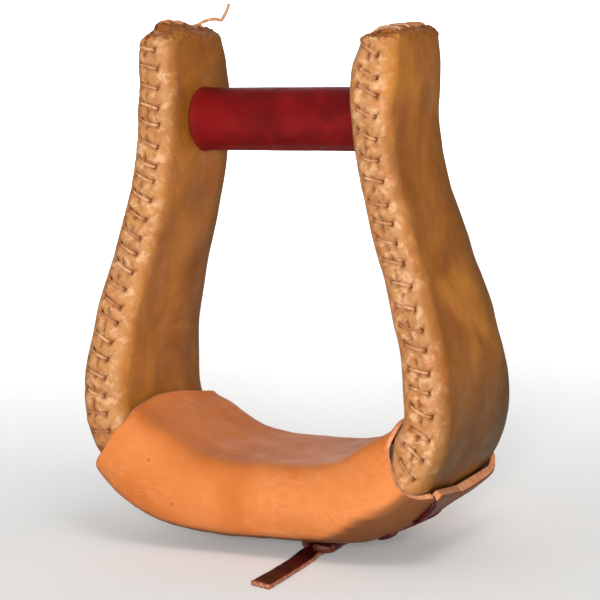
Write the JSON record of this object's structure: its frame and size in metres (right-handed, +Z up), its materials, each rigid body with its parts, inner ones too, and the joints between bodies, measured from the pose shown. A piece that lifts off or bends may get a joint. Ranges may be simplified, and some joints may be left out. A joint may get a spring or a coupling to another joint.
{
  "type": "western saddle stirrup",
  "caption": "Bell-shaped wooden western stirrup in laced leather, with a padded leather tread tied on underneath and a turning leather roller across the neck.",
  "frame": {"origin": "on the surface that the stirrup stands on, under the middle of the tread", "axes": "+X across the stirrup along the roller, -Y the laced front, +Z up"},
  "size_m": [0.1552, 0.1127, 0.1998],
  "materials": {
    "side_leather": "oiled, mottled tan side leather, formed wet over the wood",
    "tread_leather": "smooth orange tan skirting leather with pale cut edges",
    "latigo": "dark burgundy latigo with tan cut edges",
    "roller_leather": "smooth satin burgundy leather",
    "lace": "waxed pale tan lace",
    "pad_felt": "pressed wool felt",
    "hardwood": "bare steam-bent hardwood",
    "steel": "plain zinc-plated steel"
  },
  "bodies": {
    "stirrup": {"wood_bow": "hardwood", "neck_bolt": "steel", "neck_nut": "steel", "bolt_washer_left": "steel", "bolt_washer_right": "steel", "left_side_cover": "side_leather", "right_side_cover": "side_leather", "left_front_lacing": "lace", "right_front_lacing": "lace", "left_top_lacing": "lace", "right_top_lacing": "lace", "tread_pad": "pad_felt", "tread_cover": "tread_leather", "thong_under_bow": "latigo", "thong_return": "latigo", "thong_tie": "latigo", "thong_end": "latigo", "thong_knot": "latigo", "thong_tail": "latigo"},
    "roller": {"roller_core": "hardwood", "roller_sleeve": "roller_leather"}
  },
  "joints": [
    {"name": "roller_spin", "type": "hinge", "parent": "stirrup", "child": "roller", "pos_m": [0, 0, 0.1634], "axis": [1, 0, 0], "continuous": true}
  ]
}
